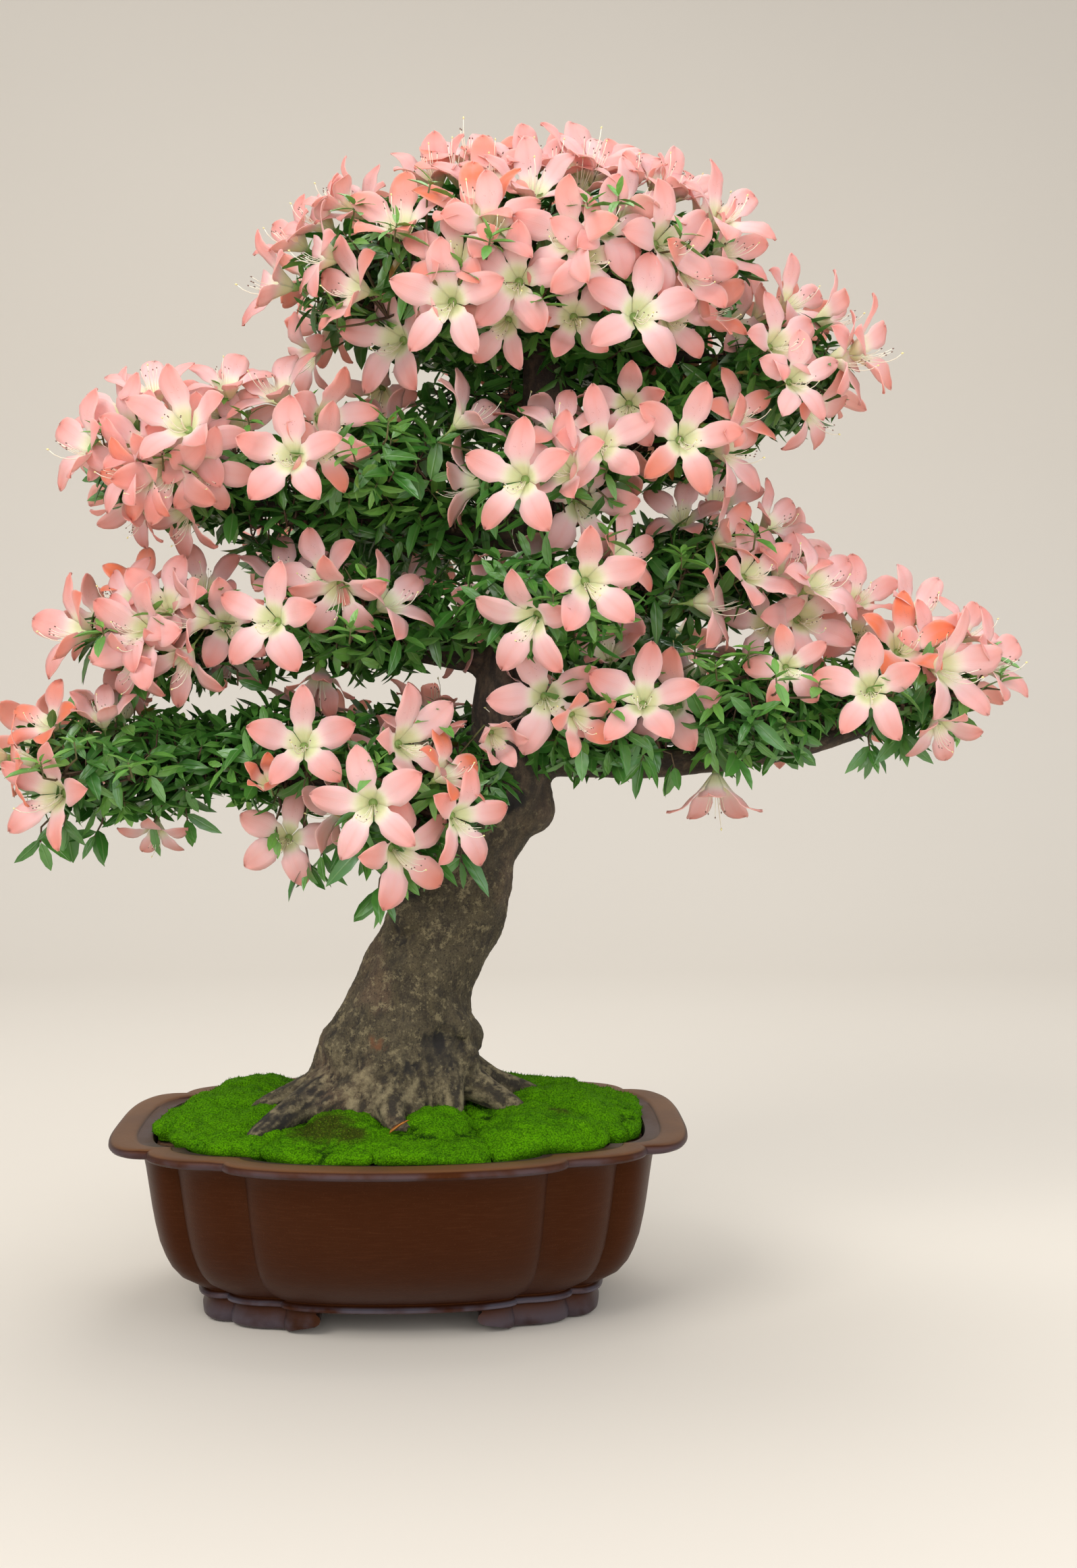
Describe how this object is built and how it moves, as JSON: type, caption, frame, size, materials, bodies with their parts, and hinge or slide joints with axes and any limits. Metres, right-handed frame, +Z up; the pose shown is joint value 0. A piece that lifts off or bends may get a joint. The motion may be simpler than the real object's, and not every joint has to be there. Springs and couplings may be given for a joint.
{
  "type": "satsuki azalea bonsai",
  "caption": "Flowering satsuki azalea bonsai: leaning trunk with layered leaf pads and salmon-pink blooms, moss over soil, in a lobed brown stoneware pot on cloud feet.",
  "frame": {"origin": "middle of the whole tree's plan box, on the plane of the pot's feet; the pot's own middle is 76 mm to the left of it and 23 mm in front of it, because the tree leans right and its crown hangs over", "axes": "+Z up, the display front faces -Y, +X to the viewer's right"},
  "size_m": [0.7862, 0.3902, 0.8836],
  "materials": {
    "stoneware": "satin",
    "screen": "matte",
    "copper_wire": "satin",
    "soil": "matte",
    "moss": "matte",
    "bark": "matte",
    "leaves": "satin",
    "petals": "matte"
  },
  "bodies": {
    "root": {"drain_screen_left": "screen", "drain_screen_right": "screen", "flower_back_left_1": "petals", "flower_back_right_1": "petals", "flower_centre_lower_1": "petals", "flower_centre_upper_1": "petals", "flower_crown_1": "petals", "flower_crown_2": "petals", "flower_crown_3": "petals", "flower_crown_4": "petals", "flower_crown_5": "petals", "flower_crown_6": "petals", "flower_crown_right_1": "petals", "flower_front_low_1": "petals", "flower_low_inner_1": "petals", "flower_low_outer_1": "petals", "flower_lower_right_inner_1": "petals", "flower_lower_right_middle_1": "petals", "flower_lower_right_outer_1": "petals", "flower_lower_right_outer_2": "petals", "flower_right_mid_1": "petals", "flower_right_upper_1": "petals", "flower_second_inner_1": "petals", "flower_second_outer_1": "petals", "flower_third_inner_1": "petals", "flower_third_outer_1": "petals", "flower_third_outer_2": "petals", "leaves_back_left": "leaves", "leaves_back_low": "leaves", "leaves_back_right": "leaves", "leaves_centre_lower": "leaves", "leaves_centre_upper": "leaves", "leaves_crown": "leaves", "leaves_crown_right": "leaves", "leaves_front_low": "leaves", "leaves_low_inner": "leaves", "leaves_low_outer": "leaves", "leaves_lower_right_inner": "leaves", "leaves_lower_right_middle": "leaves", "leaves_lower_right_outer": "leaves", "leaves_right_mid": "leaves", "leaves_right_upper": "leaves", "leaves_second_inner": "leaves", "leaves_second_outer": "leaves", "leaves_third_inner": "leaves", "leaves_third_outer": "leaves", "moss_back": "moss", "moss_back_left": "moss", "moss_back_right": "moss", "moss_dark_front": "moss", "moss_front": "moss", "moss_left": "moss", "moss_left_front": "moss", "moss_right": "moss", "moss_right_front": "moss", "pot": "stoneware", "screen_clip_left": "copper_wire", "screen_clip_right": "copper_wire", "soil": "soil", "trunk_and_branches": "bark"}
  },
  "joints": []
}
